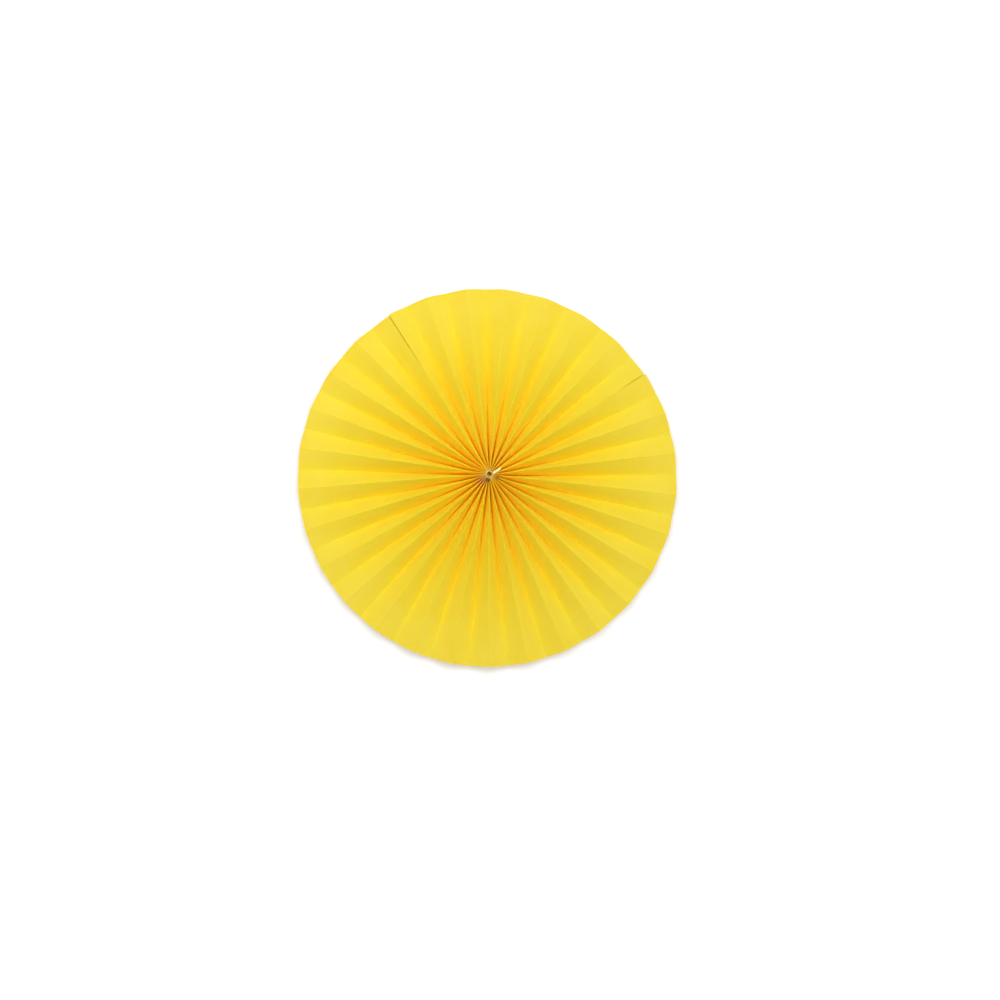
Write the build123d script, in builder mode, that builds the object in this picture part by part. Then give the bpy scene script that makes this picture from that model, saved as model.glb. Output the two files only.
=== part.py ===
from build123d import *
import os
from math import cos, pi, radians, sin, sqrt

# Round paper fan rosette: two pleated paper strips, joined end to end into a full circle.
#
# The rosette lies flat with its front up. Z is the axis of the circle, and the origin is on that
# axis at the back of the hub, level with the lowest folds.
# Folds and panels are counted counter-clockwise, seen from the front, from the first seam. The
# short strip comes first, and the long strip runs on from the second seam to the first again.
# On each strip the even folds are mountains and the odd folds are valleys.

# Strips, in mm and degrees
fan_diameter = 350.0
pleat_count = 29
short_strip_pleats = 7
paper = 0.2
flattest_slope = 12.0
fold_crown = 0.15

# Free play beside each layer of paper where the folds are packed round the hub
packing_play = 0.02

# Folds round the rim: an even spread that leads and lags in a slow and a fast wave
first_seam_angle = 34.3
seam_turn = 0.8
slow_wave = 1.75
slow_wave_phase = 73.0
fast_wave = 0.68
fast_wave_phase = 52.0

# Seams: each end panel of the short strip has a flange folded back under it, and the flange of
# the long strip is stuck to that one, by double-sided tape at the first seam and glue at the other
hairpin_gap = 0.1
glue_film = 0.05
tape = 0.15
tape_hub_setback = 1.0
tape_rim_setback = 25.0
tape_below_thread = 1.2

# Inner end of the tape, bent over the long strip's ridge
lip_width = 1.6
lip_length = 8.0
lip_root = 0.3

# Thread through punched holes, which holds the inner edges together
thread = 0.6
thread_play = 0.4
thread_setback = 3.6

# Each panel takes up its twist in shallow bends between flat facets
bend_count = 10

# Thread and punched holes have as few flats as keep them round enough for their size
flat_count = 6

rim_radius = fan_diameter / 2
short_panels = 2 * short_strip_pleats
long_panels = 2 * pleat_count - short_panels
panel_count = short_panels + long_panels
hairpin = paper + hairpin_gap
glued_stack = hairpin + paper + glue_film
taped_stack = glued_stack + tape + glue_film
tape_depth = hairpin + paper / 2 + glue_film + tape / 2
layer = paper + packing_play
hub_edge = panel_count * layer + glued_stack + taped_stack
hub_radius = hub_edge / (2 * pi)
up = Vector(0, 0, 1)
merge_limit = 1e-6


def hub_angle(panels, seams):
    """At the hub each layer of paper and each seam takes its own thickness of the circle."""
    return first_seam_angle + 360 * (panels * layer + seams * glued_stack) / hub_edge


def rim_angle(panels, seams):
    """At the rim the panels share the circle evenly, and the two waves are added."""
    even = first_seam_angle + panels * (360 - 2 * seam_turn) / panel_count + seams * seam_turn
    slow = slow_wave * sin(radians(even - slow_wave_phase))
    fast = fast_wave * sin(radians(2 * even - fast_wave_phase))
    return even + slow + fast


panel_turns = [rim_angle(panel + 1, 0) - rim_angle(panel, 0) for panel in range(panel_count)]
widest_run = 2 * rim_radius * sin(radians(max(panel_turns) / 2))
pleat_width = widest_run / cos(radians(flattest_slope))
mid_height = pleat_width / 2 + fold_crown

# Shares of the way out at which the panels bend: closer together near the hub and the rim
bend_places = [(1 - cos(pi * bend / bend_count)) / 2 for bend in range(bend_count + 1)]


def plan_point(panels, seams, place):
    """Seen from above, a fold is a straight line from its place at the hub to the rim."""
    hub = Vector(hub_radius, 0).rotate(Axis.Z, hub_angle(panels, seams))
    rim = Vector(rim_radius, 0).rotate(Axis.Z, rim_angle(panels, seams))
    return hub + (rim - hub) * place


def panel_run(panels, seams, place):
    """Level distance from one fold to the next."""
    return (plan_point(panels + 1, seams, place) - plan_point(panels, seams, place)).length


def fold_line(first_panel, fold, count, seams):
    """Points along one fold of a strip, each with the steepness of the paper beside it.

    A panel of full width climbs what its run leaves it. The fold takes the mean of its two
    panels, half of it above the middle plane for a mountain and half below for a valley.
    """
    side = 1 if fold % 2 == 0 else -1
    line = []
    for place in bend_places:
        before = panel_run(first_panel + max(fold - 1, 0), seams, place)
        after = panel_run(first_panel + min(fold, count - 1), seams, place)
        rise = (sqrt(pleat_width**2 - before**2) + sqrt(pleat_width**2 - after**2)) / 2
        steepness = 2 * pleat_width / (before + after)
        point = plan_point(first_panel + fold, seams, place) + up * (mid_height + side * rise / 2)
        line.append((point, steepness))
    return line


def section_frame(ridge, valley):
    """Unit vectors in the upright plane of a section: level, down the panel, and off its face."""
    level = Vector(valley.X - ridge.X, valley.Y - ridge.Y).normalized()
    down = (valley - ridge).normalized()
    off = (up - down * down.dot(up)).normalized()
    return level, down, off


def crown_height(steepness):
    """A steep fold is cut off level where its faces would meet higher than fold_crown."""
    return min(fold_crown, paper / 2 * steepness)


def panel_section(ridge_end, valley_end):
    """Corners of a slanting band of paper with half a fold at each end.

    Its faces meet each fold's upright wall half a thickness away, measured upright.
    """
    ridge, ridge_steepness = ridge_end
    valley, valley_steepness = valley_end
    run = Vector(valley.X - ridge.X, valley.Y - ridge.Y)
    fall = ridge.Z - valley.Z
    ridge_half = paper / 2 * ridge_steepness
    valley_half = paper / 2 * valley_steepness
    ridge_crown = crown_height(ridge_steepness)
    valley_crown = crown_height(valley_steepness)
    ridge_cut = (ridge_half - ridge_crown) / (fall + ridge_half - valley_half)
    valley_cut = (valley_half - valley_crown) / (fall + valley_half - ridge_half)
    return [
        ridge + up * ridge_crown,
        ridge + up * ridge_crown + run * ridge_cut,
        valley + up * valley_half,
        valley - up * valley_crown,
        valley - up * valley_crown - run * valley_cut,
        ridge - up * ridge_half,
    ]


def hairpin_section(ridge_end, valley_end):
    """Corners of an end panel of the short strip, with its flange folded back under it."""
    ridge, valley = ridge_end[0], valley_end[0]
    level, down, off = section_frame(ridge, valley)
    half = paper / 2
    notch = ridge + down * paper
    band = panel_section(ridge_end, valley_end)
    return [
        ridge + off * half,
        band[2],
        band[3],
        band[4],
        notch - off * half,
        notch - off * (hairpin - half),
        valley - off * (hairpin - half),
        valley - off * (hairpin + half),
        ridge - off * (hairpin + half),
    ]


def seam_ridge(ridge_end, valley_end, steepness, stack):
    """Ridge of the long strip, level with that of the short strip and one stack away."""
    level, down, off = section_frame(ridge_end[0], valley_end[0])
    return ridge_end[0] + level * (stack / down.Z), steepness


def flange_section(seam_end, ridge_end, valley_end, stack):
    """Corners of an end flange of the long strip, one stack under the short strip's panel."""
    ridge, steepness = seam_end
    level, down, off = section_frame(ridge_end[0], valley_end[0])
    half = off * (paper / 2)
    foot = ridge_end[0] - off * stack
    tip = valley_end[0] - off * stack
    upright_half = paper / 2 * steepness
    crown = crown_height(steepness)
    cut = (upright_half - crown) / (ridge.Z - tip.Z)
    run = Vector(tip.X - ridge.X, tip.Y - ridge.Y)
    return [
        ridge + up * crown,
        ridge + up * crown + run * cut,
        foot + half,
        tip + half,
        tip - half,
        foot - half,
        ridge - up * upright_half,
    ]


def tape_section(ridge_end, valley_end):
    """Corners of the layer between the two flanges."""
    ridge, valley = ridge_end[0], valley_end[0]
    level, down, off = section_frame(ridge, valley)
    face = off * (tape_depth - tape / 2)
    back = off * (tape_depth + tape / 2)
    return [ridge - face, valley - face, valley - back, ridge - back]


def flat_face(corners):
    """List of one flat face through the corners, empty where fewer than three differ."""
    before = corners[-1:] + corners[:-1]
    kept = [corner for corner, last in zip(corners, before) if (corner - last).length > merge_limit]
    return [Face(Wire.make_polygon(kept, close=True))] if len(kept) > 2 else []


def facets(sections, shared_sides):
    """Flat triangles along the sides of a run of sections, and a face at each end of it.

    The bends run to and fro between the upper and the lower edge. Sides that the next panel
    shares are left open.
    """
    faces = flat_face(sections[0]) + flat_face(sections[-1])
    corner_count = len(sections[0])
    for bend in range(bend_count):
        inner, outer = sections[bend], sections[bend + 1]
        for side in range(corner_count):
            if side in shared_sides:
                continue
            high, low = side, (side + 1) % corner_count
            if inner[high].Z < inner[low].Z:
                high, low = low, high
            if bend % 2 == 0:
                faces += flat_face([inner[high], inner[low], outer[low]])
                faces += flat_face([inner[high], outer[low], outer[high]])
            else:
                faces += flat_face([inner[high], inner[low], outer[high]])
                faces += flat_face([inner[low], outer[low], outer[high]])
    return faces


def panel_facets(line, next_line, ridge_first, shared_sides=(2, 5)):
    """Facets of a plain panel between two folds."""
    ridge_line, valley_line = (line, next_line) if ridge_first else (next_line, line)
    return facets([panel_section(*ends) for ends in zip(ridge_line, valley_line)], shared_sides)


# Folds of both strips, and the seams: ridge and valley of the short strip's end panel, end fold
# of the long strip, and distance from the middle of that panel to the middle of the flange
short_lines = [fold_line(0, fold, short_panels, 0) for fold in range(short_panels + 1)]
long_lines = [fold_line(short_panels, fold, long_panels, 1) for fold in range(long_panels + 1)]
seams = [
    (short_lines[0], short_lines[1], long_panels, taped_stack),
    (short_lines[-1], short_lines[-2], 0, glued_stack),
]

# Short strip: plain panels, and at each seam an end panel with its flange
short_faces = []
for fold in range(1, short_panels - 1):
    short_faces += panel_facets(short_lines[fold], short_lines[fold + 1], fold % 2 == 0)
for ridge_line, valley_line, fold, stack in seams:
    hairpins = [hairpin_section(*ends) for ends in zip(ridge_line, valley_line)]
    short_faces += facets(hairpins, (1,))

# Long strip: at each seam its end ridge beside that of the short strip, with a flange beyond it,
# and plain panels all the way between
long_faces = []
for ridge_line, valley_line, fold, stack in seams:
    end_line = []
    flanges = []
    for ridge_end, valley_end, own_end in zip(ridge_line, valley_line, long_lines[fold]):
        end = seam_ridge(ridge_end, valley_end, own_end[1], stack)
        end_line.append(end)
        flanges.append(flange_section(end, ridge_end, valley_end, stack))
    long_lines[fold] = end_line
    long_faces += facets(flanges, (6,))
for fold in range(long_panels):
    long_faces += panel_facets(long_lines[fold], long_lines[fold + 1], fold % 2 == 0)

short_sheet = Solid(Shell(short_faces))
long_sheet = Solid(Shell(long_faces))
tape_sections = [tape_section(*ends) for ends in zip(short_lines[0], short_lines[1])]
tape_layer = Solid(Shell(facets(tape_sections, ())))

# Profiles of the punched hole and of the thread, half way up the hub
hole_radius = thread / 2 + thread_play
thread_place = (hub_radius + thread_setback, mid_height)
with BuildSketch(Plane.XZ) as hole:
    with Locations(thread_place):
        RegularPolygon(hole_radius, flat_count)

with BuildSketch(Plane.XZ) as thread_round:
    with Locations(thread_place):
        RegularPolygon(thread / 2, flat_count)

# Upright plane across the first seam where the lip starts: x to the short strip, y up
seam_inner = short_lines[0][0][0]
seam_outer = short_lines[0][-1][0]
along_seam = Vector(seam_outer.X - seam_inner.X, seam_outer.Y - seam_inner.Y).normalized()
lip_plane = Plane(
    origin=seam_inner + along_seam * tape_hub_setback,
    x_dir=along_seam.rotate(Axis.Z, 90),
    z_dir=along_seam,
)
lip_level = fold_crown + glue_film

with BuildPart() as pleated_sheet_short:
    add(short_sheet)
    revolve(hole.sketch, axis=Axis.Z, mode=Mode.SUBTRACT)

with BuildPart() as pleated_sheet_long:
    add(long_sheet)
    revolve(hole.sketch, axis=Axis.Z, mode=Mode.SUBTRACT)

# The tape is a strip of its layer along the ridges, with a lip that stands up out of the seam
# and lies over the long strip's ridge
with BuildPart() as closing_tape:
    add(tape_layer)
    with BuildSketch(Plane.XY.offset(mid_height - hole_radius - tape_below_thread)):
        Circle(rim_radius - tape_rim_setback)
        Circle(hub_radius + tape_hub_setback, mode=Mode.SUBTRACT)
    extrude(amount=pleat_width, mode=Mode.INTERSECT)
    revolve(hole.sketch, axis=Axis.Z, mode=Mode.SUBTRACT)
    with BuildSketch(lip_plane):
        with Locations((-tape_depth, -lip_root)):
            Rectangle(tape, lip_root + lip_level + tape, align=(Align.CENTER, Align.MIN))
        with Locations((tape / 2 - tape_depth, lip_level)):
            Rectangle(lip_width, tape, align=(Align.MAX, Align.MIN))
    extrude(amount=lip_length)

with BuildPart() as binding_thread:
    revolve(thread_round.sketch, axis=Axis.Z)

pieces = {
    "pleated_sheet_short": pleated_sheet_short,
    "pleated_sheet_long": pleated_sheet_long,
    "closing_tape": closing_tape,
    "binding_thread": binding_thread,
}
os.makedirs("parts", exist_ok=True)
for name, piece in pieces.items():
    piece.part.label = name
    export_step(piece.part, f"parts/{name}.step")
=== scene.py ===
# %% [markdown]
# A paper fan rosette
#
# Two long strips of yellow paper are folded to and fro into narrow pleats. Their ends are stuck
# together, so that the pleats make a ring, and a thread draws one edge of the ring together into
# a hub. The ring then opens flat into a disc of radial folds.
# The frame holds the true size and place of every piece, so it is loaded first, and its box is
# kept for the size of the rim and the height of the floor.

# %% Load the frame
import math

import bpy
import numpy as np
from mathutils import Matrix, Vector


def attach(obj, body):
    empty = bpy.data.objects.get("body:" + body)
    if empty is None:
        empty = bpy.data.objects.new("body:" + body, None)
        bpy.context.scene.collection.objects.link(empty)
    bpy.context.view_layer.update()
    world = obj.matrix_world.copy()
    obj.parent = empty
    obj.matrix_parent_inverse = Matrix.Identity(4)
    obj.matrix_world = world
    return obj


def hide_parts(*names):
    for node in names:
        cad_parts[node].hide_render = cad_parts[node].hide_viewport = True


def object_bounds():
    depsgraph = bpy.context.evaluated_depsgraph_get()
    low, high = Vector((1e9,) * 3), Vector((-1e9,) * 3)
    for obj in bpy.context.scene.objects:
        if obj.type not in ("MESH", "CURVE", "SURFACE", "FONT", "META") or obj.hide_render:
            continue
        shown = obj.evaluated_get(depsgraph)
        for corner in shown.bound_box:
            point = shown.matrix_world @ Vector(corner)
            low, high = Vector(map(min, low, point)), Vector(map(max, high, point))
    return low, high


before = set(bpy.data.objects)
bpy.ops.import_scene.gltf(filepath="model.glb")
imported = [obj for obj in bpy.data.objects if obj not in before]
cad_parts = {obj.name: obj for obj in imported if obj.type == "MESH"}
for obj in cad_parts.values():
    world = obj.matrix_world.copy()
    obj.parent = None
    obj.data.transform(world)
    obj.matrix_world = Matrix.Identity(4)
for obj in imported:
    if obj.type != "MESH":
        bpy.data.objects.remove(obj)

cad_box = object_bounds()
print("pieces of the frame:", sorted(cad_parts))
print("box of the frame in mm:", [round(1000 * x, 1) for corner in cad_box for x in corner])

# %% [markdown]
# The folds, seen from above
#
# A fold is a straight line from the hub to the rim. At the hub every layer of paper takes its own
# thickness of the small circle, and at the rim the folds share the large circle almost evenly:
# they lead and lag in a slow and a fast wave, as paper that was spread by hand does.
# The rim's circle is measured on the frame, and the rest is the same rule as in the model.
# The alternative, reading fold after fold from the frame's mesh, would give facets and not folds.

# %% Sizes of the paper and the circle
MM = 0.001
PLEATS = 29
SHORT_PLEATS = 7
PAPER = 0.2 * MM
LAYER = 0.22 * MM
HAIRPIN = 0.3 * MM
GLUED_STACK = 0.55 * MM
TAPED_STACK = 0.75 * MM

SHORT_PANELS = 2 * SHORT_PLEATS
LONG_PANELS = 2 * PLEATS - SHORT_PANELS
PANELS = SHORT_PANELS + LONG_PANELS
HUB_EDGE = PANELS * LAYER + GLUED_STACK + TAPED_STACK

RIM_RADIUS = max(far - near for near, far in zip(*cad_box)) / 2
HUB_RADIUS = HUB_EDGE / (2 * math.pi)
print("radius of the rim in mm:", round(1000 * RIM_RADIUS, 2))
print("radius of the hub in mm:", round(1000 * HUB_RADIUS, 2))

# %% Angles of the folds
FIRST_SEAM = math.radians(34.3)
SEAM_TURN = math.radians(0.8)
SLOW_WAVE, SLOW_PHASE = math.radians(1.75), math.radians(73)
FAST_WAVE, FAST_PHASE = math.radians(0.68), math.radians(52)


def hub_angle(panels, seams):
    """Angle at the hub: the share of the hub's edge that the layers before this fold take."""
    return FIRST_SEAM + 2 * math.pi * (panels * LAYER + seams * GLUED_STACK) / HUB_EDGE


def rim_angle(panels, seams):
    """Angle at the rim: an even spread, plus a slow and a fast sine wave of that even angle."""
    even = FIRST_SEAM + panels * (2 * math.pi - 2 * SEAM_TURN) / PANELS + seams * SEAM_TURN
    return even + SLOW_WAVE * np.sin(even - SLOW_PHASE) + FAST_WAVE * np.sin(2 * even - FAST_PHASE)


first_folds = np.degrees(rim_angle(np.arange(4), 0))
print("angles of the first folds at the rim in degrees:", first_folds.round(1).tolist())

# %% [markdown]
# The lines are worked out at rows on the way from the hub to the rim. The rows lie closer at the
# hub, where the folds are packed and their shape changes fast.
# The strips are cut a little askew, so one end of a strip reaches further out than the other. It
# shows as a small step of the rim at each seam.
# The widest gap between two folds at the rim and the flattest slope of a panel there give the
# width of a pleat, which is the same for all of them.

# %% Folds in plan
ROWS = 56
EVEN_SPACING = 0.35
STRIP_SKEW = 0.55 * MM
FLATTEST_SLOPE = math.radians(12)
FOLD_CROWN = 0.15 * MM

row = np.linspace(0, 1, ROWS)
place = (EVEN_SPACING * row + (1 - EVEN_SPACING) * row**2)[:, None]


def on_circle(radius, angle):
    """Point of a level circle at each angle: radius times cosine and sine, and no height."""
    return np.stack([radius * np.cos(angle), radius * np.sin(angle), 0 * angle], axis=-1)


def fold_plan(panels, seams):
    """Folds in plan: hub point plus place times the way to the rim point, one row for each place.

    The rim radius goes evenly from the skew below to the skew above the mean, over the strip.
    """
    skew = np.linspace(-STRIP_SKEW, STRIP_SKEW, len(panels))
    hub = on_circle(HUB_RADIUS, hub_angle(panels, seams))
    rim = on_circle(RIM_RADIUS + skew, rim_angle(panels, seams))
    return hub + (rim - hub) * place[..., None]


ring = fold_plan(np.arange(PANELS + 1), 0)
widest_run = np.linalg.norm(np.diff(ring[-1], axis=0), axis=1).max()
PLEAT_WIDTH = widest_run / math.cos(FLATTEST_SLOPE)
MID_HEIGHT = PLEAT_WIDTH / 2 + FOLD_CROWN
print("width of a pleat in mm:", round(1000 * PLEAT_WIDTH, 2))

# %% [markdown]
# The folds in height
#
# A panel keeps its width all the way out. Near the hub there is almost no room beside it, so it
# stands upright, and towards the rim it leans over. Its climb is the side of a right triangle
# with the width as its long side and the level run as its other side. Close to the rim nothing
# holds the folds together any more, and they lie a little flatter than that.
# A crease isn't a sharp line: the paper bends round a small circle, which is a little wider on a
# mountain than in a valley. At the hub the circles of neighbouring folds touch, so there they are
# only as large as the room allows. This is why the folds near the hub run together into one pale
# ring.

# %% Height and bend of each fold
MOUNTAIN_BEND = 0.14 * MM
VALLEY_BEND = 0.12 * MM
ROOM_SHARE = 0.49
RIM_FLATNESS = 0.4
FLATNESS_POWER = 5
UP = np.array([0.0, 0.0, 1.0])


def fold_rows(first_panel, count, seams):
    """Lines of all folds of a strip, the bend radius along them, and +1 at mountains, -1 at valleys.

    Height: middle plus or minus half the mean climb of the two panels beside the fold, where a
    climb is the square root of width squared less run squared. At the rim it is less, by the
    rim's flatness times the place to the flatness power.
    """
    lines = fold_plan(first_panel + np.arange(count + 1), seams)
    run = np.linalg.norm(np.diff(lines, axis=1), axis=2)
    climb = np.sqrt(PLEAT_WIDTH**2 - run**2) * (1 - RIM_FLATNESS * place**FLATNESS_POWER)
    mean_climb, least_run = (climb[:, 1:] + climb[:, :-1]) / 2, np.minimum(run[:, 1:], run[:, :-1])
    climb_beside = np.concatenate([climb[:, :1], mean_climb, climb[:, -1:]], axis=1)
    run_beside = np.concatenate([run[:, :1], least_run, run[:, -1:]], axis=1)
    side = np.where(np.arange(count + 1) % 2 == 0, 1.0, -1.0)
    lines[..., 2] = MID_HEIGHT + side * climb_beside / 2
    bend = np.where(side > 0, MOUNTAIN_BEND, VALLEY_BEND)
    return lines, np.minimum(bend, ROOM_SHARE * run_beside), side


def outward(lines):
    """Unit level vector along each fold, from the hub to the rim."""
    way = lines[-1] - lines[0]
    way[:, 2] = 0
    return way / np.linalg.norm(way, axis=1, keepdims=True)


short_lines, short_bend, short_side = fold_rows(0, SHORT_PANELS, 0)
long_lines, long_bend, long_side = fold_rows(SHORT_PANELS, LONG_PANELS, 1)
short_out, long_out = outward(short_lines), outward(long_lines)
print("highest fold in mm:", round(1000 * short_lines[..., 2].max(), 2))
print("lowest fold in mm:", round(1000 * long_lines[..., 2].min(), 2))

# %% [markdown]
# One strip as one smooth surface
#
# The middle of the paper is a chain of bends and panels. A bend is part of the small circle, and
# a panel touches the circle at both of its ends. A panel isn't flat: it leaves the valley steeply
# and flattens towards the mountain, so that the mountains are broad and the valleys are narrow
# grooves. Across a panel the paper follows a cubic curve, which is settled by its two ends and
# by its slopes there, and the fuller the panel is, the more the two slopes differ.
# The chain is worked out for all places on the way out at once, so it is a grid of points. Each
# point also has the direction that faces the front, and half a thickness to both sides of it
# gives the two faces of the sheet.
# A Solidify modifier could give the thickness too, but it would tear at the hub, where the
# creases are as tight as the paper is thick.

# %% Lean of the panels
MOUNTAIN_FULLNESS = 0.8
VALLEY_FULLNESS = 0.55
RIM_FADE = 0.95
FADE_POWER = 4


def leaning(out, angle):
    """Unit vector that leans by an angle from upright, across a fold: sine times across, cosine up."""
    across = np.cross(UP, out)
    return np.sin(angle)[..., None] * across + np.cos(angle)[..., None] * UP


def panel_leans(centres, bend, side):
    """Lean of each panel's front from upright at its first and at its second fold, with its sign.

    The steepness is the arctangent of climb over run. The run is made longer at a mountain and
    shorter at a valley by the panel's fullness, which fades towards the rim. The line that touches
    two circles from opposite sides is steeper than the line of centres by the arcsine of the sum
    of the radii over the distance of the centres.
    """
    step = np.diff(centres, axis=1)
    reach = np.linalg.norm(step, axis=2)
    run = np.linalg.norm(step[..., :2], axis=2)
    radii = bend[:, 1:] + bend[:, :-1]
    room = np.clip(1 - radii / run, 0, 1) * (1 - RIM_FADE * place**FADE_POWER)
    leans = []
    for ends in (side[:-1], side[1:]):
        fullness = np.where(ends > 0, MOUNTAIN_FULLNESS, -VALLEY_FULLNESS) * room
        steep = np.arctan2(np.abs(step[..., 2]), run * (1 + fullness)) + np.arcsin(radii / reach)
        leans.append(side[:-1] * steep)
    return leans


steepness = np.degrees(np.abs(panel_leans(short_lines, short_bend, short_side)[0][[0, -1], 1]))
print("steepness of a panel at the hub and at the rim in degrees:", steepness.round(1).tolist())

# %% Panels and bends
BEND_STEPS = 4
PANEL_STEPS = 8


def panel_curve(centres, bend, side, out, leans, panel):
    """Middle points and front directions of one panel: a cubic between the circles it touches."""
    points, ways = [], []
    for fold, lean in zip((panel, panel + 1), leans):
        front = leaning(out[fold], lean[:, panel])
        points.append(centres[:, fold] + side[fold] * bend[:, fold, None] * front)
        ways.append(np.cross(front, out[fold]))
    climb = np.abs(points[1] - points[0])[:, 2]
    start, end = points[0][:, None], points[1][:, None]
    leave, arrive = [way[:, None] * (climb / np.abs(way[:, 2]))[:, None, None] for way in ways]
    share = np.linspace(0, 1, PANEL_STEPS + 1)[:, None]
    rest = 1 - share
    curve = (
        start * rest**2 * (1 + 2 * share)
        + leave * share * rest**2
        + end * share**2 * (1 + 2 * rest)
        - arrive * share**2 * rest
    )
    slopes = (
        (end - start) * 6 * share * rest
        + leave * rest * (1 - 3 * share)
        + arrive * share * (1 - 3 * rest)
    )
    fronts = np.cross(out[panel] * rest + out[panel + 1] * share, slopes)
    return curve, fronts / np.linalg.norm(fronts, axis=2, keepdims=True)


def bend_curve(centre, bend, side, out, lean_in, lean_out):
    """Middle points and front directions round one crease: the lean turns evenly."""
    share = np.linspace(0, 1, BEND_STEPS + 1)
    turn = lean_in[:, None] + (lean_out - lean_in)[:, None] * share
    fronts = leaning(out, turn)
    return centre[:, None] + side * bend[:, None, None] * fronts, fronts


print("points across a panel and a bend:", PANEL_STEPS + 1, "and", BEND_STEPS + 1)

# %% [markdown]
# The two strips
#
# The chain of the short strip starts and ends with a flange: its end panels are folded back under
# themselves like a hairpin. The long strip's flanges lie one layer further down, so that both
# strips overlap at each seam by one hidden pleat. The long strip's end fold stands beside the
# short strip's one, level with it, and the groove between the two is what shows of a seam.

# %% A chain of bends and panels
def centres_of(lines, bend, side):
    """Centres of the bend circles: one radius below a mountain's line and above a valley's."""
    return lines - (side * bend)[..., None] * UP


def chain(start, centres, bend, side, out, leans, end_leans, end):
    """Joins the start flange, all bends and panels in turn, and the end flange, into one grid."""
    come = np.concatenate([end_leans[0][:, None], leans[1]], axis=1)
    leave = np.concatenate([leans[0], end_leans[1][:, None]], axis=1)
    parts = [start]
    for fold in range(len(side)):
        turn = (come[:, fold], leave[:, fold])
        parts.append(bend_curve(centres[:, fold], bend[:, fold], side[fold], out[fold], *turn))
        if fold + 1 < len(side):
            points, fronts = panel_curve(centres, bend, side, out, leans, fold)
            parts.append((points[:, 1:-1], fronts[:, 1:-1]))
    parts.append(end)
    return [np.concatenate(grids, axis=1) for grids in zip(*parts)]


def layer_under(panel, depth, keep):
    """A panel's points moved back by a depth along its front directions, in the kept columns."""
    points, fronts = panel
    return points[:, keep] - depth * fronts[:, keep], fronts[:, keep]


print("bends and panels of the two chains:", 2 * SHORT_PANELS + 1, "and", 2 * LONG_PANELS + 1)

# %% Chain of the short strip
HAIRPIN_BEND = HAIRPIN / 2

short_bend[:, 0] = short_bend[:, -1] = HAIRPIN_BEND
short_centres = centres_of(short_lines, short_bend, short_side)
for leans, fold in zip(panel_leans(short_centres, short_bend, short_side), (0, -1)):
    hairpin_front = leaning(short_out[fold], leans[:, fold])
    short_centres[:, fold] = short_lines[:, fold] - HAIRPIN_BEND * hairpin_front
short_leans = panel_leans(short_centres, short_bend, short_side)
first_panel, last_panel = [
    panel_curve(short_centres, short_bend, short_side, short_out, short_leans, panel)
    for panel in (0, SHORT_PANELS - 1)
]
first_lean, last_lean = short_leans[0][:, 0], short_leans[1][:, -1]

# A flange's columns in the chain's order, without the one at its fold, where the bend begins
from_tip, from_ridge = slice(None, 0, -1), slice(-2, None, -1)
first_flange = layer_under(first_panel, HAIRPIN, from_tip)
last_flange = layer_under(last_panel, HAIRPIN, from_ridge)
short_points, short_fronts = chain(
    (first_flange[0], -first_flange[1]),
    short_centres, short_bend, short_side, short_out, short_leans,
    (first_lean - math.pi, last_lean + math.pi),
    (last_flange[0], -last_flange[1]),
)
print("grid of the short strip:", short_points.shape)

# %% [markdown]
# The end fold of the long strip has to be level with the short strip's fold, and its flange has to
# lie a stack of layers under the short strip's end panel. So its bend circle is one stack and one
# radius back from that panel, but never further aside than the width of the seam, and its top is
# level with the other fold.
# The glue and the tape stop short of the rim. From there outwards the flange parts from the panel
# above it, and the seam gapes a little at the rim. The glue stops sooner than the tape.

# %% Seams of the long strip
GLUED_GAPE, GLUED_GAPE_START = 4.0 * MM, 108 * MM
TAPED_GAPE, TAPED_GAPE_START = 5.5 * MM, 148 * MM
GAPE_POWER = 0.7
SEAM_WIDTH = 1.25 * MM
FLAP_START = 0.03
FLAP_POWER = 1.6
distance_out = HUB_RADIUS + place * (RIM_RADIUS - HUB_RADIUS)


def flap(panel, stack, gape, start):
    """Flange under a panel, from its mountain to its valley: a stack of layers back, and a wedge.

    Share of the way down from the mountain: the flap's start plus the rest times an even step to
    the flap's power, so that the columns are close where the flange leaves its fold. Depth: the
    stack plus the gape times the share of the way from the start radius to the rim to the gape's
    power, times the share that is left to go down.
    """
    down = (np.arange(PANEL_STEPS) / PANEL_STEPS) ** FLAP_POWER * (1 - FLAP_START) + FLAP_START
    columns = down * PANEL_STEPS
    before = np.minimum(columns.astype(int), PANEL_STEPS - 1)
    between = (columns - before)[:, None]
    points, fronts = [grid[:, before] * (1 - between) + grid[:, before + 1] * between for grid in panel]
    to_rim = np.clip((distance_out - start) / (RIM_RADIUS - start), 0, 1) ** GAPE_POWER
    depth = stack + gape * to_rim * (1 - down)
    return points - depth[..., None] * fronts, fronts


def seam_centres(fold, lean, stack, bend, longer):
    """Bend circle's centres beside a fold of the short strip and level with it.

    They are a stack and a radius back from the panel, but never further aside than the seam's
    width. Towards the rim they move out by the length that this strip is longer.
    """
    steep = np.abs(lean)
    aside = ((stack + bend) - bend * np.cos(steep)) / np.sin(steep)
    level = np.cross(UP, short_out[fold]) * -np.sign(lean)[:, None]
    aside = np.minimum(aside, SEAM_WIDTH)[:, None]
    beside = short_lines[:, fold] - bend[:, None] * UP + aside * level
    return beside + longer * place * short_out[fold]


last_panel_down = [grid[:, ::-1] for grid in last_panel]
glued_flap = flap(last_panel_down, GLUED_STACK, GLUED_GAPE, GLUED_GAPE_START)
taped_flap = flap(first_panel, TAPED_STACK, TAPED_GAPE, TAPED_GAPE_START)
print("columns of a flange:", glued_flap[0].shape[1])

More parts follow.
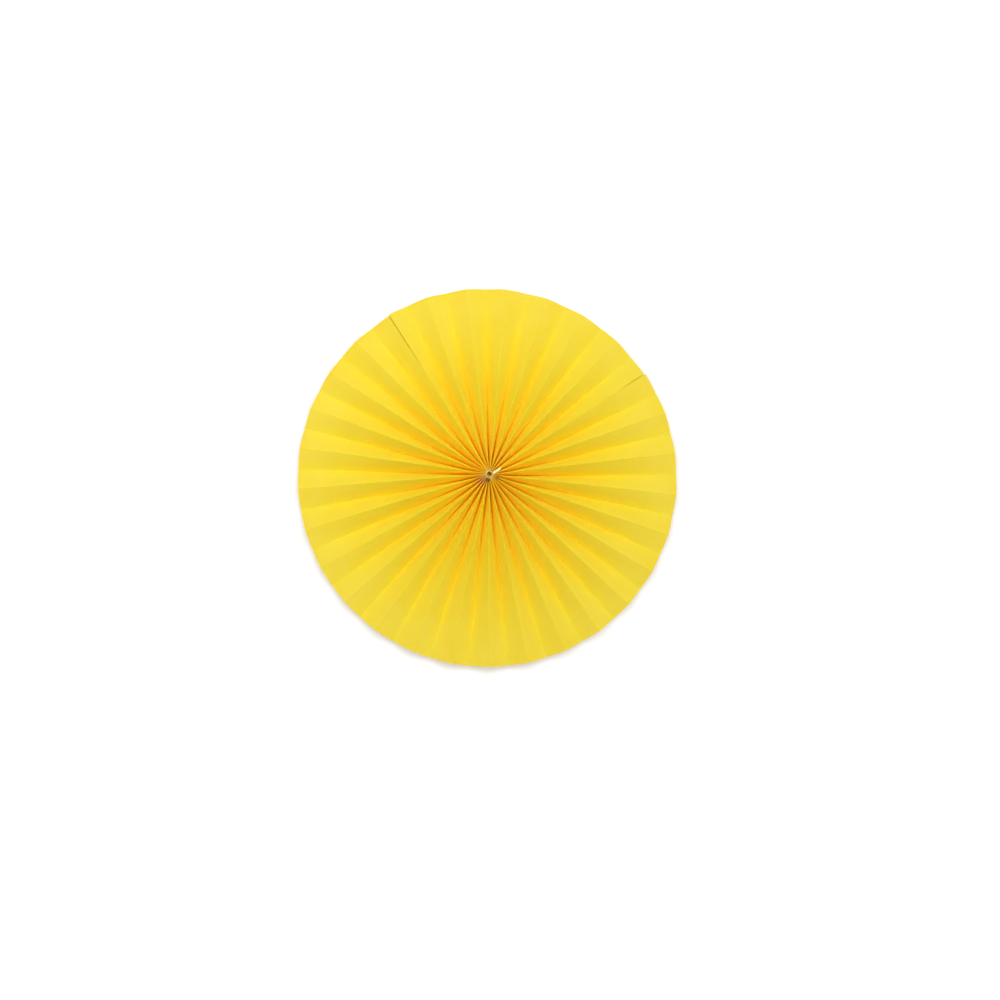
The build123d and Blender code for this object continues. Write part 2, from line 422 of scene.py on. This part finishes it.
# %% Chain of the long strip
long_centres = centres_of(long_lines, long_bend, long_side)
long_centres[:, 0] = seam_centres(-1, last_lean, GLUED_STACK, long_bend[:, 0], -2 * STRIP_SKEW)
long_centres[:, -1] = seam_centres(0, first_lean, TAPED_STACK, long_bend[:, -1], 2 * STRIP_SKEW)
long_out[0], long_out[-1] = short_out[-1], short_out[0]
long_leans = panel_leans(long_centres, long_bend, long_side)
long_points, long_fronts = chain(
    [grid[:, ::-1] for grid in glued_flap],
    long_centres, long_bend, long_side, long_out, long_leans,
    (last_lean, first_lean),
    taped_flap,
)
print("grid of the long strip:", long_points.shape)

# %% [markdown]
# From a grid to a solid sheet
#
# The grid is moved half a thickness to the front and to the back, and the four edges are closed
# with narrow strips, so that the piece is a real thin solid. The faces are put into the mesh as
# whole arrays, which is far quicker than adding them one by one. The shading uses the front
# directions as they are. Directions averaged from the faces would blur the creases.

# %% Faces of a sheet
def quads(first, second, third, fourth):
    """Four-cornered faces from four equal grids of point numbers."""
    return np.stack([first, second, third, fourth], axis=-1).reshape(-1, 4)


def sheet_faces(rows, columns):
    """Faces of the front and the back, and of the strips that close the four edges."""
    front, back = np.arange(2 * rows * columns).reshape(2, rows, columns)
    smooth = [
        quads(front[:-1, :-1], front[1:, :-1], front[1:, 1:], front[:-1, 1:]),
        quads(back[:-1, :-1], back[:-1, 1:], back[1:, 1:], back[1:, :-1]),
    ]
    edges = [
        quads(front[-1, :-1], back[-1, :-1], back[-1, 1:], front[-1, 1:]),
        quads(front[0, :-1], front[0, 1:], back[0, 1:], back[0, :-1]),
        quads(front[:-1, 0], back[:-1, 0], back[1:, 0], front[1:, 0]),
        quads(front[:-1, -1], front[1:, -1], back[1:, -1], back[:-1, -1]),
    ]
    return np.concatenate(smooth), np.concatenate(edges)


print("faces of both sides and edges of a sheet of 3 by 3 points:", *map(len, sheet_faces(3, 3)))

# %% Sheet mesh
def new_piece(name, mesh):
    """Object of a mesh, at the origin, in the scene."""
    piece = bpy.data.objects.new(name, mesh)
    bpy.context.scene.collection.objects.link(piece)
    print(name, "has", 2 * len(mesh.polygons), "triangles")
    return piece


def sheet_piece(name, points, fronts, thickness):
    """Closed thin solid: the grid plus and minus half the thickness along its front directions."""
    sides = np.concatenate([points + fronts * thickness / 2, points - fronts * thickness / 2])
    smooth, edges = sheet_faces(*points.shape[:2])
    corners = np.concatenate([smooth, edges])
    mesh = bpy.data.meshes.new(name)
    mesh.vertices.add(sides.size // 3)
    mesh.vertices.foreach_set("co", sides.ravel())
    mesh.loops.add(corners.size)
    mesh.loops.foreach_set("vertex_index", corners.ravel())
    mesh.polygons.add(len(corners))
    mesh.polygons.foreach_set("loop_start", np.arange(0, corners.size, 4))
    mesh.polygons.foreach_set("use_smooth", np.arange(len(corners)) < len(smooth))
    mesh.update(calc_edges=True)
    # The two sides are shaded with the fronts, and the edge strips flat, as their faces lie
    facing = np.zeros((len(corners), 3), dtype=np.float32)
    mesh.polygon_normals.foreach_get("vector", facing.ravel())
    normals = np.repeat(facing, 4, axis=0)
    both_ways = np.concatenate([fronts, -fronts]).reshape(-1, 3)
    normals[: smooth.size] = both_ways[smooth.ravel()]
    mesh.normals_split_custom_set(normals.tolist())
    return new_piece(name, mesh)


long_pleats = sheet_piece("long_pleats", long_points, long_fronts, PAPER)
short_pleats = sheet_piece("short_pleats", short_points, short_fronts, PAPER)

# %% [markdown]
# The tape in the first seam
#
# Double-sided tape holds the two flanges of the first seam together. It lies between them and
# doesn't show, apart from its inner end: there the paper backing stands up out of the seam and is
# bent over the long strip's fold, as a small white strip beside the hub.
# It is the same kind of grid as the sheets. Above the seam its columns follow a path that climbs,
# turns over and runs almost level. Further out nothing stands up: the last columns stop half way
# to the top of the groove, out of sight.

# %% Places along the tape
TAPE_INSET = 1.0 * MM
TAPE_RIM_SETBACK = 25 * MM
LIP_LENGTH = 8.0 * MM
LIP_END = 0.1 * MM
LIP_ROWS, HIDDEN_ROWS = 14, 30

start_radius = HUB_RADIUS + TAPE_INSET
lip_radii = np.linspace(start_radius, start_radius + LIP_LENGTH, LIP_ROWS)
hidden_start = start_radius + LIP_LENGTH + LIP_END
hidden_radii = np.linspace(hidden_start, RIM_RADIUS - TAPE_RIM_SETBACK, HIDDEN_ROWS)
tape_radii = np.concatenate([lip_radii, hidden_radii])
fold_radii = np.linalg.norm(short_lines[:, 0, :2], axis=1)
along_seam = np.interp(tape_radii, fold_radii, np.arange(ROWS))


def at_stations(grid):
    """The grid's rows at the tape's own stations, each a weighted mean of the two rows around it."""
    inner = np.minimum(along_seam.astype(int), ROWS - 2)
    share = (along_seam - inner)[:, None, None]
    return grid[inner] * (1 - share) + grid[inner + 1] * share


print("the tape runs from and to these radii in mm:", (1000 * tape_radii[[0, -1]]).round(1).tolist())

# %% Lip and hidden part of the tape
TAPE = 0.15 * MM
TAPE_DEPTH = 0.525 * MM
TAPE_COLUMNS = slice(5, 0, -1)
TAPE_SUNK = 0.5
LIP_WIDTH = 2.0 * MM
LIP_RISE = 0.2 * MM
LIP_TURN = 0.25 * MM
LIP_CURL = math.radians(14)
CURL_POWER = 3
LIP_STEPS = 20
PATH_POINTS = 400

path = np.linspace(0, LIP_WIDTH, PATH_POINTS)
turning = np.clip((path - LIP_RISE) / LIP_TURN, 0, 1)
turned = math.pi / 2 * turning - LIP_CURL * (path / LIP_WIDTH) ** CURL_POWER
climb, drift = [np.cumsum(part) * path[1] for part in (np.cos(turned), np.sin(turned))]
step_share = np.linspace(0, 1, LIP_STEPS + 1)[1:]
lean_over, rise, run_over = [
    np.interp(LIP_WIDTH * step_share, path, curve)[:, None] for curve in (turned, climb, drift)
]

layer = layer_under(first_panel, TAPE_DEPTH, TAPE_COLUMNS)
layer_points, layer_fronts = [at_stations(grid) for grid in layer]
top_points, top_fronts = layer_points[:, -1:], layer_fronts[:, -1:]
foot = at_stations(layer_under(first_panel, TAPE_DEPTH, slice(0, 1))[0])
across = np.cross(UP, short_out[0])
lip_points = foot + rise * UP - run_over * across
lip_fronts = np.cos(lean_over) * across + np.sin(lean_over) * UP
sunk_points = top_points + (foot - top_points) * (1 - TAPE_SUNK) * step_share[:, None]
shows = (tape_radii <= lip_radii[-1])[:, None, None]
end_points = np.where(shows, lip_points, sunk_points)
end_fronts = np.where(shows, lip_fronts, top_fronts)
seam_tape = sheet_piece(
    "seam_tape",
    np.concatenate([layer_points, end_points], axis=1),
    -np.concatenate([layer_fronts, end_fronts], axis=1),
    TAPE,
)

# %% [markdown]
# The thread in the hub
#
# The thread that draws the hub together runs through all folds half way down, so it is a plain
# ring. It is a cord of two plies: a tube round the ring whose section has two lobes, and the
# lobes turn as the tube goes on. A curve with a round bevel would have no plies.
# The sheets have no holes for it here, because it lies deep between packed folds, where none
# would show.

# %% Thread mesh
THREAD = 0.6 * MM
THREAD_INSET = 3.6 * MM
PLY_TURNS = 24
PLY_DEPTH = 0.22
AROUND_RING = 360
AROUND_THREAD = 16

ring_angle, section_angle = np.meshgrid(
    np.linspace(0, 2 * math.pi, AROUND_RING, endpoint=False),
    np.linspace(0, 2 * math.pi, AROUND_THREAD, endpoint=False),
    indexing="ij",
)
lobes = np.abs(np.cos(section_angle - PLY_TURNS / 2 * ring_angle))
ply_radius = THREAD / 2 * (1 - PLY_DEPTH + PLY_DEPTH * lobes)
ring_radius = HUB_RADIUS + THREAD_INSET + ply_radius * np.cos(section_angle)
thread_points = on_circle(ring_radius, ring_angle)
thread_points[..., 2] = MID_HEIGHT + ply_radius * np.sin(section_angle)


def ring_piece(name, points):
    """Closed tube: the grid joined to itself in both directions."""
    index = np.arange(points.shape[0] * points.shape[1]).reshape(points.shape[:2])
    along, round_it = np.roll(index, -1, axis=0), np.roll(index, -1, axis=1)
    corners = quads(index, along, np.roll(along, -1, axis=1), round_it)
    mesh = bpy.data.meshes.new(name)
    mesh.from_pydata(points.reshape(-1, 3), [], corners)
    mesh.shade_smooth()
    return new_piece(name, mesh)


thread_ring = ring_piece("thread_ring", thread_points)

# %% [markdown]
# Paper
#
# The paper is dyed through and has no gloss. Its colour also holds painted light: it is painted
# paler towards the rim, as a painted sheen, and lighter round the hub, against the shade of the
# packed folds there. It is faintly cloudy everywhere. All of it is worked out from the place on
# the object, so there is no picture to load and no seam. A finish is a tree of nodes, and short
# helpers keep it readable: arithmetic, a ramp from one range of numbers to another, a mix of two
# colours, and a noise.

# %% A material and its arithmetic
def new_material(name):
    """Material with its tree of nodes and its shader."""
    material = bpy.data.materials.new(name)
    material.use_nodes = True
    return material, material.node_tree, material.node_tree.nodes["Principled BSDF"]


def math_node(tree, operation, *values):
    """Arithmetic on sockets or plain numbers."""
    node = tree.nodes.new("ShaderNodeMath")
    node.operation = operation
    for socket, value in zip(node.inputs, values):
        if isinstance(value, (int, float)):
            socket.default_value = value
        else:
            tree.links.new(value, socket)
    return node.outputs[0]


def distance_from_axis(tree, coordinates):
    """Square root of x squared plus y squared."""
    split = tree.nodes.new("ShaderNodeSeparateXYZ")
    tree.links.new(coordinates, split.inputs[0])
    squares = [math_node(tree, "POWER", socket, 2.0) for socket in split.outputs[:2]]
    return math_node(tree, "SQRT", math_node(tree, "ADD", *squares))


paper, tree, shader = new_material("yellow_paper")
place_on_object = tree.nodes.new("ShaderNodeTexCoord").outputs["Object"]
from_axis = distance_from_axis(tree, place_on_object)
print("nodes of the paper so far:", len(tree.nodes))

# %% Dye and painted light of the paper
RIM_PAINTED_SHEEN = (0.95, 0.745, 0.07)
PAPER_YELLOW = (0.93, 0.715, 0.03)
INNER_PAINTED_LIGHT = (0.985, 0.775, 0.02)
CLOUD_YELLOW = (0.94, 0.70, 0.035)
INNER_ZONE = (75 * MM, 30 * MM)
SHEEN_ZONE = (80 * MM, 160 * MM)
CLOUD_SCALE, CLOUD_DETAIL = 35, 2.0
CLOUD_RANGE = (0.35, 0.65)
CLOUD_STRENGTH = 0.5


def ramp(tree, value, low, high, low_out=0.0, high_out=1.0):
    """Straight line from low..high to low_out..high_out, held at both ends."""
    node = tree.nodes.new("ShaderNodeMapRange")
    numbers = {"From Min": low, "From Max": high, "To Min": low_out, "To Max": high_out}
    for name, number in numbers.items():
        node.inputs[name].default_value = number
    tree.links.new(value, node.inputs["Value"])
    return node.outputs["Result"]


def mix(tree, share, first, second):
    """The first colour at a share of 0 and the second at 1; each is a colour or a socket."""
    node = tree.nodes.new("ShaderNodeMix")
    node.data_type = "RGBA"
    tree.links.new(share, node.inputs["Factor"])
    for name, value in (("A", first), ("B", second)):
        socket = next(s for s in node.inputs if s.name == name and s.type == "RGBA")
        if isinstance(value, tuple):
            socket.default_value = (*value, 1)
        else:
            tree.links.new(value, socket)
    return next(s for s in node.outputs if s.type == "RGBA")


def noise(tree, coordinates, scale, detail):
    """Noise texture on the coordinates, as a number from 0 to 1."""
    texture = tree.nodes.new("ShaderNodeTexNoise")
    texture.inputs["Scale"].default_value = scale
    texture.inputs["Detail"].default_value = detail
    tree.links.new(coordinates, texture.inputs["Vector"])
    return texture.outputs["Fac"]


clouds = noise(tree, place_on_object, CLOUD_SCALE, CLOUD_DETAIL)
# Painted light: paler towards the rim for a painted sheen, lighter round the hub against the shade of
# the packed folds
dye_and_painted_light = mix(tree, ramp(tree, from_axis, *SHEEN_ZONE), PAPER_YELLOW, RIM_PAINTED_SHEEN)
dye_and_painted_light = mix(tree, ramp(tree, from_axis, *INNER_ZONE), dye_and_painted_light, INNER_PAINTED_LIGHT)
dye_and_painted_light = mix(tree, ramp(tree, clouds, *CLOUD_RANGE, 0.0, CLOUD_STRENGTH), dye_and_painted_light, CLOUD_YELLOW)
print("nodes of the paper so far:", len(tree.nodes))

# %% [markdown]
# Painted light in the valleys
#
# Down in the valleys the colour is painted a little paler and lighter, as painted light. Light
# that gets in there is passed from panel to panel and turns more golden each time, so an even
# colour would make the valleys orange.
# The depth isn't painted on the mesh. It follows from the height and the distance from the axis,
# because the rule for the climb of a panel says how deep a valley is there.

# %% Painted light in the valleys
VALLEY_PAINTED_LIGHT = (0.94, 0.83, 0.04)
VALLEY_SHARES = (0.1, -0.5)
VALLEY_ZONE = (60 * MM, 170 * MM)
VALLEY_AT_RIM = 0.25


def share_of_climb(tree, coordinates, from_axis):
    """Height above the middle as a share of the climb: -0.5 in a valley, 0.5 on a mountain.

    The climb is the square root of the pleat width squared less the run squared, and the run is an
    even share of the circle at that distance from the axis.
    """
    run = math_node(tree, "MULTIPLY", from_axis, 2 * math.pi / PANELS)
    run_squared = math_node(tree, "POWER", run, 2.0)
    climb_squared = math_node(tree, "SUBTRACT", PLEAT_WIDTH**2, run_squared)
    split = tree.nodes.new("ShaderNodeSeparateXYZ")
    tree.links.new(coordinates, split.inputs[0])
    above_middle = math_node(tree, "SUBTRACT", split.outputs[2], MID_HEIGHT)
    return math_node(tree, "DIVIDE", above_middle, math_node(tree, "SQRT", climb_squared))


in_valley = ramp(tree, share_of_climb(tree, place_on_object, from_axis), *VALLEY_SHARES)
inwards = ramp(tree, from_axis, *VALLEY_ZONE, 1.0, VALLEY_AT_RIM)
# Painted light: a paler, lighter yellow down in the valleys, against the orange of light bounced there
dye_and_painted_light = mix(tree, math_node(tree, "MULTIPLY", in_valley, inwards), dye_and_painted_light, VALLEY_PAINTED_LIGHT)
print("nodes of the paper so far:", len(tree.nodes))

# %% [markdown]
# Painted light and shade at the hub
#
# Where the fold tops are packed round the hub, the colour is painted pale cream, a painted
# highlight where the tops run together, and mottled with brown, painted shade between them. A few
# soft spots are painted redder and darker, painted shade tinted by light bounced in the folds.
# Each spot is round and fades from its inner to its outer radius, at a place read off the
# photograph. Vertex colours would do too, but the folds there are narrower than the mesh's rows
# are long.

# %% Painted light and shade at the hub
HUB_PAINTED_HIGHLIGHT = (0.97, 0.75, 0.18)
HUB_YELLOW = (0.96, 0.71, 0.12)
HUB_PAINTED_SHADE = (0.78, 0.48, 0.06)
HUB_PAINT_ZONE = (7.5 * MM, 3.6 * MM)
HIGHLIGHT_ZONE = (6.0 * MM, 3.0 * MM)
MOTTLE_SCALE, MOTTLE_DETAIL = 700, 3.0
MOTTLE_RANGE = (0.4, 0.6)
BOUNCE_PINK = (0.95, 0.50, 0.24)
SHADE_BROWN = (0.68, 0.24, 0.06)
SHADE_PURPLE = (0.42, 0.08, 0.04)
SHADE_SPOTS = [
    # centre, inner and outer radius, strength, colour
    ((-7.0 * MM, -6.0 * MM), 1.0 * MM, 6.0 * MM, 0.6, BOUNCE_PINK),
    ((7.3 * MM, -3.1 * MM), 0.8 * MM, 3.2 * MM, 0.7, SHADE_BROWN),
    ((-1.6 * MM, -5.4 * MM), 1.0 * MM, 3.0 * MM, 0.8, SHADE_PURPLE),
]


def spot(tree, coordinates, centre, inner, outer):
    """1 within the inner radius of an upright axis through the centre, 0 beyond the outer one."""
    moved = tree.nodes.new("ShaderNodeVectorMath")
    moved.operation = "SUBTRACT"
    tree.links.new(coordinates, moved.inputs[0])
    moved.inputs[1].default_value = (*centre, 0)
    return ramp(tree, distance_from_axis(tree, moved.outputs[0]), outer, inner)


# Painted highlight and shade: pale cream where the packed fold tops run together, mottled with brown
# between them
mottle = ramp(tree, noise(tree, place_on_object, MOTTLE_SCALE, MOTTLE_DETAIL), *MOTTLE_RANGE)
highlighted = math_node(tree, "MULTIPLY", ramp(tree, from_axis, *HIGHLIGHT_ZONE), mottle)
hub_light_and_shade = mix(tree, mottle, HUB_PAINTED_SHADE, HUB_YELLOW)
hub_light_and_shade = mix(tree, highlighted, hub_light_and_shade, HUB_PAINTED_HIGHLIGHT)
dye_and_painted_light = mix(tree, ramp(tree, from_axis, *HUB_PAINT_ZONE), dye_and_painted_light, hub_light_and_shade)
# Painted shade tinted by bounced light, in soft round spots
for centre, inner, outer, strength, tint in SHADE_SPOTS:
    inside = spot(tree, place_on_object, centre, inner, outer)
    dye_and_painted_light = mix(tree, math_node(tree, "MULTIPLY", inside, strength), dye_and_painted_light, tint)
tree.links.new(dye_and_painted_light, shader.inputs["Base Color"])
print("marks at the hub:", len(SHADE_SPOTS), "and nodes of the paper so far:", len(tree.nodes))

# %% [markdown]
# The surface of the paper
#
# Light enters thin paper and spreads before it leaves again, so the sheet glows a little from its
# far side. Subsurface scattering on the closed thin solid does this, and reaches furthest for red.
# The fibres are a fine noise that only tilts the surface.
# The tape's backing is a smooth white paper, painted pale yellow for the light bounced onto it
# from the yellow folds, and the thread is dull cotton. Both have a fine speckle of their own.

# %% Surface of the paper
FIBRE_SCALE, FIBRE_DETAIL = 2200, 4.0


def set_inputs(node, **values):
    """Sets inputs by their names, with an underscore for each space."""
    for name, value in values.items():
        node.inputs[name.replace("_", " ")].default_value = value


set_inputs(shader, Roughness=0.85, Specular_IOR_Level=0.15)
set_inputs(shader, Subsurface_Weight=0.6, Subsurface_Radius=(1.0, 0.8, 0.25))
set_inputs(shader, Subsurface_Scale=0.2 * MM)

bump = tree.nodes.new("ShaderNodeBump")
set_inputs(bump, Strength=0.35, Distance=0.05 * MM)
fibres = noise(tree, place_on_object, FIBRE_SCALE, FIBRE_DETAIL)
tree.links.new(fibres, bump.inputs["Height"])
tree.links.new(bump.outputs["Normal"], shader.inputs["Normal"])
print("nodes of the paper:", len(tree.nodes))

# %% Tape and thread finishes
# The tape's colours are painted pale yellow: painted light bounced onto it from the yellow folds
TAPE_PAINTED_YELLOW, TAPE_SPECK = (0.95, 0.84, 0.42), (0.90, 0.77, 0.34)
THREAD_WHITE, THREAD_SHADE = (0.80, 0.77, 0.70), (0.68, 0.64, 0.56)


def speckled(name, first, second, scale, detail, margin, roughness):
    """Material whose colour goes from the first to the second with a noise.

    The noise is stretched so that its range less a margin at both ends fills the mix.
    """
    material, tree, shader = new_material(name)
    speckle = noise(tree, tree.nodes.new("ShaderNodeTexCoord").outputs["Object"], scale, detail)
    share = ramp(tree, speckle, margin, 1 - margin)
    tree.links.new(mix(tree, share, first, second), shader.inputs["Base Color"])
    set_inputs(shader, Roughness=roughness)
    print(name, "has", len(tree.nodes), "nodes")
    return material


tape_paper = speckled(
    "white_tape", TAPE_PAINTED_YELLOW, TAPE_SPECK, scale=1500, detail=3.0, margin=0.35, roughness=0.6
)
cotton = speckled(
    "white_thread", THREAD_WHITE, THREAD_SHADE, scale=4000, detail=4.0, margin=0.3, roughness=0.9
)

# %% [markdown]
# The pieces take their places
#
# Every piece rides on the one body, and each stands for the solid of the frame that it replaces.
# The slots are the materials' names in the record, so that the parts list and the looks agree.

# %% Ride and replace
dressing = [
    (long_pleats, "pleated_sheet_long", paper, "yellow_paper"),
    (short_pleats, "pleated_sheet_short", paper, "yellow_paper"),
    (seam_tape, "closing_tape", tape_paper, "white_tape"),
    (thread_ring, "binding_thread", cotton, "white_thread"),
]
for piece, node, material, slot in dressing:
    piece.data.materials.append(material)
    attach(piece, "root")
    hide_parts(node)
    print(piece.name, "stands for", node, "in", slot)

# %% [markdown]
# Camera
#
# The photograph looks down on the front from a little to one side. The camera's place was found
# from the outline: seen from straight ahead the rim would be a circle round the hub, and how far
# the hub is off its middle gives the tilt and the distance.

# %% Camera
CAMERA_DISTANCE = 0.9
CAMERA_TILT = math.radians(5.86)
CAMERA_SIDE = math.radians(237.3)
SENSOR_WIDTH = 36
PHOTO_PIXELS = 1000
FOCAL_PIXELS = 974.5
HUB_PIXEL = (488.83, 474.85)

towards_camera = on_circle(math.sin(CAMERA_TILT), np.array(CAMERA_SIDE))
towards_camera[2] = math.cos(CAMERA_TILT)
camera_right = np.cross([0, 1, 0], towards_camera)
camera_right /= np.linalg.norm(camera_right)
camera_up = np.cross(towards_camera, camera_right)


def turned_and_moved(right, up, back, place):
    """Matrix that turns an object's x, y and z to three directions and moves it to a place."""
    matrix = np.eye(4)
    matrix[:3] = np.stack([right, up, back, place], axis=1)
    return Matrix(matrix.tolist())


camera = bpy.data.objects.new("camera", bpy.data.cameras.new("camera"))
bpy.context.scene.collection.objects.link(camera)
bpy.context.scene.camera = camera
camera.data.sensor_width = SENSOR_WIDTH
camera.data.lens = SENSOR_WIDTH * FOCAL_PIXELS / PHOTO_PIXELS
camera.data.shift_x = (PHOTO_PIXELS / 2 - HUB_PIXEL[0]) / PHOTO_PIXELS
camera.data.shift_y = (HUB_PIXEL[1] - PHOTO_PIXELS / 2) / PHOTO_PIXELS
camera_place = MID_HEIGHT * UP + CAMERA_DISTANCE * towards_camera
camera.matrix_world = turned_and_moved(camera_right, camera_up, towards_camera, camera_place)
print("lens in mm:", round(camera.data.lens, 2))

# %% [markdown]
# Floor
#
# The floor is a pale card that takes the fan's shadow. It also glows for the camera and for
# reflections, and for nothing else, so that it comes out white without more light on the fan. The
# glow is faint and warm under the fan, where the card shows through the hub's hole and at the
# seams, and strong far off, where the lamps don't reach.

# %% Floor
FLOOR_SIZE = 6.0
FLOOR_GAP = 0.1 * MM
UNDER_FAN, BESIDE_FAN, FAR_OFF = (0.10, 0.075, 0.01), (0.28, 0.28, 0.28), (0.8, 0.8, 0.8)
RIM_ZONE = (0.5 * RIM_RADIUS, RIM_RADIUS)
FAR_ZONE = (0.25, 0.55)


def seen_directly(tree):
    """1 for rays from the camera, off gloss and through glass, and 0 for all other light."""
    rays = tree.nodes.new("ShaderNodeLightPath").outputs
    mirrored = math_node(tree, "MAXIMUM", rays["Is Glossy Ray"], rays["Is Transmission Ray"])
    return math_node(tree, "MAXIMUM", rays["Is Camera Ray"], mirrored)


floor_mesh = bpy.data.meshes.new("floor")
floor_level = float(cad_box[0].z) - FLOOR_GAP
corner_signs = np.array([(-1, -1), (1, -1), (1, 1), (-1, 1)])
floor_corners = [(*(FLOOR_SIZE / 2 * signs), floor_level) for signs in corner_signs]
floor_mesh.from_pydata(floor_corners, [], [(0, 1, 2, 3)])
floor = new_piece("floor", floor_mesh)

card, tree, shader = new_material("floor_card")
set_inputs(shader, Base_Color=(0.9, 0.9, 0.9, 1), Roughness=0.9, Specular_IOR_Level=0.1)
from_axis = distance_from_axis(tree, tree.nodes.new("ShaderNodeTexCoord").outputs["Object"])
near_glow = mix(tree, ramp(tree, from_axis, *RIM_ZONE), UNDER_FAN, BESIDE_FAN)
glow = tree.nodes.new("ShaderNodeEmission")
tree.links.new(mix(tree, ramp(tree, from_axis, *FAR_ZONE), near_glow, FAR_OFF), glow.inputs["Color"])
tree.links.new(seen_directly(tree), glow.inputs["Strength"])
both = tree.nodes.new("ShaderNodeAddShader")
tree.links.new(shader.outputs[0], both.inputs[0])
tree.links.new(glow.outputs[0], both.inputs[1])
tree.links.new(both.outputs[0], tree.nodes["Material Output"].inputs["Surface"])
floor_mesh.materials.append(card)
print("the floor lies at a height in mm of", round(1000 * floor_level, 2))

# %% [markdown]
# Light
#
# The photograph's light comes from high up at the upper left. A large soft lamp and a smaller
# one stand there, a third shines from straight above into the folds, and a wide one further off
# at the upper right opens the shade. The world fills in evenly, and is white only to the camera
# and in reflections.
# Deep in the folds, light is passed to and fro between the panels many times, so far more
# bounces are allowed than usual. With the usual few, the folds near the hub come out too dark.
# The Standard view shows a colour about as it is written.

# %% Light
LAMPS = {
    # azimuth and elevation in degrees, distance and size in metres, power in watts
    "key_lamp": (122, 78, 0.6, 0.4, 1.10),
    "side_lamp": (140, 72, 0.5, 0.3, 0.32),
    "overhead_lamp": (0, 88, 0.7, 0.5, 0.98),
    "fill_lamp": (37, 50, 2.0, 1.0, 5.2),
}
WORLD_LIGHT = 0.385
BOUNCES = 32


def soft_lamp(name, azimuth, elevation, distance, size, power):
    """Square area lamp at that direction from the object, turned towards it."""
    lamp = bpy.data.objects.new(name, bpy.data.lights.new(name, "AREA"))
    lamp.data.size = size
    lamp.data.energy = power
    azimuth, elevation = math.radians(azimuth), math.radians(elevation)
    way = on_circle(math.cos(elevation), np.array(azimuth))
    way[2] = math.sin(elevation)
    sideways = np.cross(UP, way)
    sideways /= np.linalg.norm(sideways)
    lamp.matrix_world = turned_and_moved(sideways, np.cross(way, sideways), way, distance * way)
    bpy.context.scene.collection.objects.link(lamp)
    print(name, "stands at a height in m of", round(distance * way[2], 2))


for name, settings in LAMPS.items():
    soft_lamp(name, *settings)

world = bpy.data.worlds.new("world")
bpy.context.scene.world = world
world.use_nodes = True
tree = world.node_tree
sky = tree.nodes["Background"]
sky.inputs["Color"].default_value = (1, 1, 1, 1)
strength = ramp(tree, seen_directly(tree), 0, 1, WORLD_LIGHT, 1.0)
tree.links.new(strength, sky.inputs["Strength"])

bpy.context.scene.view_settings.view_transform = "Standard"
bpy.context.scene.cycles.diffuse_bounces = BOUNCES
bpy.context.scene.cycles.max_bounces = BOUNCES
